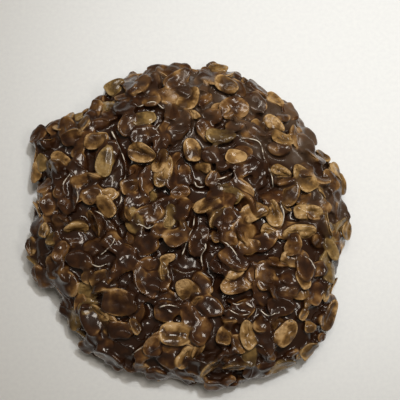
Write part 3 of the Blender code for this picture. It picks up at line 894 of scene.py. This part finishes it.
def filmParts(node):
    # what both materials read: place, gap, tone, form, and the patches where the film draws off a rim
    look = filmLook
    place = node("ShaderNodeTexCoord").outputs["Object"]
    tone = node("parts", node("attribute", attribute_name="flakeTone").outputs["Color"]).outputs
    form = node("attribute", attribute_name="flakeForm").outputs
    formParts = node("parts", form["Color"]).outputs
    blotch = node("noise", Vector=place, Scale=1000.0 / look["blotch"], Detail=3.0)
    patch = node("noise", Vector=place, Scale=1000.0 / look["rimPatch"], Detail=1.0)
    edge = node("multiply", node("spread", formParts[0], *look["rimPlace"]),
                node("spread", patch, *look["rimPatchEdge"]))
    large = node("multiply", node("subtract", 0.5, patch), look["cloud"])
    return {
        "place": place,
        "gap": node("attribute", attribute_name="gap").outputs["Fac"],
        "tone": tone,
        "form": formParts,
        "crease": form["Alpha"],
        "blotch": blotch,
        "meet": node("multiply_add", tone[0], *look["meet"]),
        "rim": node("multiply", edge, look["rim"]),
        "cloud": node("add", node("subtract", blotch, 0.5), large),
    }


def filmColour(node, cover, tone):
    colour = layStops(node("ramp", cover), filmLook["golden"])
    thin = node("multiply", node("subtract", 1.0, cover, use_clamp=True), filmLook["toneShare"])
    for part, name in ((tone[1], "olive"), (tone[2], "ruddy")):
        colour = node("tint", node("multiply", part, thin), colour, srgb(filmLook[name]))
    return colour


fudgeLook = {
    "roughness": (0.38, 0.52),
    "coatRoughness": (0.07, 0.17),
    "dryRoughness": 0.16,  # added where the cookie has dried, towards its upper right
    "dryAndSheenWay": (0.6, 0.8, 0.0),
    "dryAndSheenFrom": (4.0 * mm, 42.0 * mm),  # where it starts and is full, that way
    "dryAndSheenPatchEdge": (0.35, 0.6),
    "bloomAndSheen": "#6e5c49",  # paler grey-brown: sugar bloom on the dry part, and a painted sheen towards the upper right, where the light falls
    "bloomAndSheenShare": 0.3,
    "haze": 9.0,  # mm across the patches where sugar dulls the gloss
    "hazeEdge": (0.35, 0.65),
    "depthPower": 0.7,
    "relief": 0.16,  # mm
    "reliefCoverAndShade": (0.42, -0.12),  # darker in hollows and paler on what stands out: painted shade, as well as fudge that runs off and pools
    "poolAndShadeDepth": (0.0, 0.35),  # shares of fudgeDepth over which that comes in
    "cloudShare": (0.55, 0.6),  # more where the fudge is thin, and at least
    # painted highlight: the pale colour of the line along each web, how much of it shows and where it breaks
    "threadAndHighlight": "#e4dbca",
    "highlightShare": 0.88,
    "highlightBreaks": (0.42, 0.58),
    "webWidth": 0.55,  # mm
    "webHeight": 0.4,
    "webEdge": (0.1, 0.5),
    "line": (0.15, 0.05),  # mm from the middle of a web, where its painted highlight line ends and where it is full
    "ripple": 1.1,  # mm
    "rippleDepth": 0.025 * mm,
}


def threadParts(node):
    # how high the drawn ridges and the webs stand, and the fine pale line painted along a web as a highlight
    # on its crest
    look = fudgeLook
    threadAndHighlight = node("attribute", attribute_name="threadAndHighlight").outputs
    parts = node("parts", threadAndHighlight["Color"]).outputs
    across = node("multiply", node("absolute", node("subtract", parts[0], 0.5)), 2.0)
    webAcross = node("multiply", node("absolute", node("subtract", parts[2], 0.5)),
                     2.0 * fudgeSkin["farthest"] / mm)
    webShare = node("spread", threadAndHighlight["Alpha"], *look["webEdge"])
    ridge = node("multiply", node("spread", across, fudgeSkin["threadWidth"], 0.0), parts[1])
    web = node("multiply", node("spread", webAcross, look["webWidth"], 0.0, 0.0, look["webHeight"]), webShare)
    pale = node("multiply", node("spread", webAcross, *look["line"]), webShare)
    return node("maximum", ridge, web), pale


def cookedFudge():
    # cocoa, sugar and butter boiled and set: a dark body under a wet, syrupy gloss
    material, node, shader = newMaterial("cooked chocolate fudge")
    film, look = filmParts(node), fudgeLook
    share = node("divide", film["gap"], filmLook["fudgeDepth"], use_clamp=True)
    deep = node("power", share, look["depthPower"])
    left = node("subtract", 1.0, deep)
    cover = node("add", node("multiply", film["meet"], left), deep)
    cover = node("subtract", cover, node("multiply", film["rim"], left))
    # painted shade: hollows darker and what stands out paler, as well as fudge pooling in the hollows
    relief = node("attribute", attribute_name="relief").outputs["Fac"]
    pooledAndShaded = node("spread", relief, -look["relief"], look["relief"], *look["reliefCoverAndShade"])
    cover = node("add", cover, node("multiply", pooledAndShaded, node("spread", share, *look["poolAndShadeDepth"])))
    clouded = node("multiply", film["cloud"], node("multiply_add", left, *look["cloudShare"]))
    cover = node("add", cover, clouded, use_clamp=True)
    haze = node("noise", Vector=film["place"], Scale=1000.0 / look["haze"], Detail=3.0)
    side = node("spread", node("dot", film["place"], look["dryAndSheenWay"]), *look["dryAndSheenFrom"])
    driedAndSheen = node("multiply", side, node("spread", haze, *look["dryAndSheenPatchEdge"]))
    # painted sheen: paler towards the upper right where the light falls, as well as sugar bloom where the
    # fudge dried
    bloomAndSheen = node("multiply", driedAndSheen, look["bloomAndSheenShare"])
    colour = node("tint", bloomAndSheen, filmColour(node, cover, film["tone"]), srgb(look["bloomAndSheen"]))
    ridge, pale = threadParts(node)
    # pale lines painted along the webs stand in for highlights on their crests
    broken = node("multiply", pale, node("spread", film["blotch"], *look["highlightBreaks"]))
    lined = node("multiply", broken, look["highlightShare"])
    rough = node("spread", haze, *look["hazeEdge"], *look["roughness"])
    coatRough = node("spread", haze, *look["hazeEdge"], *look["coatRoughness"])
    ripple = node("noise", Vector=film["place"], Scale=1000.0 / look["ripple"], Detail=2.0)
    bump = node("bump", Strength=0.6, Distance=look["rippleDepth"], Height=ripple)
    drawn = node("bump", Distance=fudgeSkin["threadHeight"], Height=ridge, Normal=bump)
    setNode(shader, {
        "Base Color": node("tint", lined, colour, srgb(look["threadAndHighlight"])),
        "IOR": 1.47,
        "Specular IOR Level": 0.12,
        "Roughness": rough,
        "Normal": drawn,
        "Coat Weight": 1.0,
        "Coat IOR": 1.5,
        "Coat Roughness": node("add", coatRough, node("multiply", driedAndSheen, look["dryRoughness"])),
        "Coat Normal": drawn,
    })
    return material


oatLook = {
    "grain": 0.6,  # mm
    "grainDepth": 0.1 * mm,
    "mottle": 1.1,  # mm
    "mottleShare": 0.6,
    "streaks": (1.5, 9.0),  # along and across one flake
    "streakShift": 90.0,  # gives each flake streaks of its own
    "streakShare": 0.25,
    "reliefShares": (1.4, 0.6),  # of the mottle and the streaks
    "reliefDepth": 0.42 * mm,
    "ownCover": 0.62,
    "cloudShare": 1.15,
    "crease": 0.35,
    "creaseEdge": (0.09, 0.0),
    "face": (0.29, -0.1),  # more film in the middle of the face, less at the rim
    "facePlace": (0.3, 0.92),
    "speckle": "#8f7f6b",  # dark bran
    "speckleEdge": (0.34, 0.6),
    "speckleShare": 0.65,
    # each of these goes from the first two numbers to the last two
    "wetByCover": (0.08, 0.35, 0.35, 0.9),
    "glossByWet": (0.2, 1.0, 0.35, 0.12),
    "roughnessByCover": (0.1, 0.5, 0.55, 0.35),
}


def coatedOat():
    # a rolled groat: tan bran at the rim, darker where the film of fudge thickens
    material, node, shader = newMaterial("rolled oat in fudge")
    film, look = filmParts(node), oatLook
    covered, (radius, along, across) = film["tone"][0], film["form"]
    grain = node("noise", Vector=film["place"], Scale=1000.0 / look["grain"], Detail=2.0)
    mottle = node("noise", Vector=film["place"], Scale=1000.0 / look["mottle"], Detail=2.0)
    laid = node("ShaderNodeCombineXYZ", node("multiply", along, look["streaks"][0]),
                node("multiply", across, look["streaks"][1]), node("multiply", covered, look["streakShift"]))
    streaks = node("noise", Vector=laid, Scale=1.0, Detail=3.0)
    crossed = node("absolute", node("subtract", across, 0.5))
    creased = node("multiply", node("spread", crossed, *look["creaseEdge"]), film["crease"])
    streaky = node("add", node("multiply", node("subtract", streaks, 0.5), look["streakShare"]),
                   node("multiply", node("subtract", mottle, 0.5), look["mottleShare"]))
    dry = node("add", node("multiply", covered, look["ownCover"]), streaky)
    dry = node("add", dry, node("spread", radius, *look["facePlace"], *look["face"]))
    dry = node("add", dry, node("multiply", creased, look["crease"]), use_clamp=True)
    sunk = node("spread", film["gap"], 0.0, filmLook["oatHeight"], 1.0, 0.0)
    cover = node("ShaderNodeMix", sunk, dry, film["meet"], data_type="FLOAT")
    cover = node("subtract", cover, film["rim"])
    cover = node("add", cover, node("multiply", film["cloud"], look["cloudShare"]), use_clamp=True)
    bare = node("subtract", 1.0, sunk)
    speckles = layStops(node("ramp", grain), tuple(zip(look["speckleEdge"], (look["speckle"], "#ffffff"))))
    wet = node("maximum", node("spread", cover, *look["wetByCover"]), sunk)
    relief = node("add", node("multiply", mottle, look["reliefShares"][0]),
                  node("multiply", streaks, look["reliefShares"][1]))
    bump = node("bump", Strength=0.8, Distance=look["reliefDepth"], Height=node("multiply", relief, bare))
    fine = node("bump", Strength=0.6, Distance=look["grainDepth"], Height=node("multiply", grain, bare),
                Normal=bump)
    setNode(shader, {
        "Base Color": node("tint", node("multiply", bare, look["speckleShare"]),
                           filmColour(node, cover, film["tone"]), speckles, blend_type="MULTIPLY"),
        "IOR": 1.45,
        "Specular IOR Level": node("spread", wet, *look["glossByWet"]),
        "Roughness": node("spread", cover, *look["roughnessByCover"]),
        "Normal": fine,
        "Coat Weight": wet,
        "Coat IOR": 1.45,
        "Coat Roughness": 0.15,
    })
    return material


def dress(piece, material):
    piece.data.materials.clear()
    piece.data.materials.append(material)


dress(fudge, cookedFudge())
oatMaterial = coatedOat()
for piece in oatPieces:
    dress(piece, oatMaterial)
print("materials mixed")

for piece in (fudge, *oatPieces):
    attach(piece, "root")
    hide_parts("cookie")

stageLook = {
    "size": 1.6,
    "floor": ("#dbdee0", "#e0e3e4"),
    "fibres": 900.0,  # to a metre
    "fibreEdge": (0.3, 0.7),
    "paperRoughness": 0.75,
    "world": "#c8bba8",
    "worldStrength": 0.2,
}
lights = {
    "lamp": {"place": (0.03, 0.17, 0.80), "size": (0.14, 0.34), "turn": 15.0, "power": 1.82},
    "leftLamp": {"place": (-0.30, 0.28, 0.75), "size": (0.10, 0.28), "turn": 60.0, "power": 0.32},
    "rightLamp": {"place": (0.37, -0.08, 0.78), "size": (0.10, 0.28), "turn": -55.0, "power": 0.97},
    # a soft beam that fades towards the lower left, as the light does in the photograph
    "sweep": {"place": (0.22, 0.24, 0.87), "aim": (0.05, 0.05, 0.0), "angle": 18.6, "blend": 1.0,
              "size": 0.05, "power": 26.4},
}
lampColour, sweepColour = "#fff6ea", "#fdfcfa"


def makeStage():
    built = bmesh.new()
    bmesh.ops.create_grid(built, x_segments=8, y_segments=8, size=0.5 * stageLook["size"])
    floor = meshObject(built, "floor")
    material, node, shader = newMaterial("pale matt paper")
    place = node("ShaderNodeTexCoord").outputs["Object"]
    fibre = node("noise", Vector=place, Scale=stageLook["fibres"], Detail=3.0)
    paper = layStops(node("ramp", fibre), tuple(zip(stageLook["fibreEdge"], stageLook["floor"])))
    setNode(shader, {"Base Color": paper, "Roughness": stageLook["paperRoughness"]})
    dress(floor, material)
    world = bpy.data.worlds.new("dim room")
    world.use_nodes = True
    setNode(world.node_tree.nodes["Background"],
            {"Color": srgb(stageLook["world"]), "Strength": stageLook["worldStrength"]})
    bpy.context.scene.world = world


def facing(way):
    return way.to_track_quat("-Z", "Y")


def hang(name, light, turned, colour):
    light.energy = lights[name]["power"]
    light.color = srgb(colour)[:3]
    lamp = bpy.data.objects.new(name, light)
    lamp.location = lights[name]["place"]
    lamp.rotation_euler = turned.to_euler()
    bpy.context.scene.collection.objects.link(lamp)
    return lamp


def addSoftbox(name):
    settings = lights[name]
    light = bpy.data.lights.new(name, "AREA")
    light.shape = "RECTANGLE"
    light.size, light.size_y = settings["size"]
    turn = Matrix.Rotation(math.radians(settings["turn"]), 3, "Z")
    hang(name, light, facing(-Vector(settings["place"])).to_matrix() @ turn, lampColour)


def addSweep():
    settings = lights["sweep"]
    light = bpy.data.lights.new("sweep", "SPOT")
    light.spot_size = math.radians(settings["angle"])
    light.spot_blend = settings["blend"]
    light.shadow_soft_size = settings["size"]
    way = Vector(settings["aim"]) - Vector(settings["place"])
    hang("sweep", light, facing(way), sweepColour).visible_glossy = False


makeStage()
for name in ("lamp", "leftLamp", "rightLamp"):
    addSoftbox(name)
addSweep()

cameraView = {
    "target": Vector((2.66, 6.9, 5.0)) * mm,
    "elevation": math.radians(78.0),
    "distance": 311.0 * mm,
    "lens": 100.0,
    "clipStart": 10.0 * mm,
}
cameraData = bpy.data.cameras.new("camera")
cameraData.lens = cameraView["lens"]
cameraData.clip_start = cameraView["clipStart"]
camera = bpy.data.objects.new("camera", cameraData)
back = Vector((0.0, -math.cos(cameraView["elevation"]), math.sin(cameraView["elevation"])))
camera.location = cameraView["target"] + back * cameraView["distance"]
camera.rotation_euler = facing(-back).to_euler()
bpy.context.scene.collection.objects.link(camera)
bpy.context.scene.camera = camera
bpy.context.scene.view_settings.view_transform = "Standard"
print("stage and camera set")
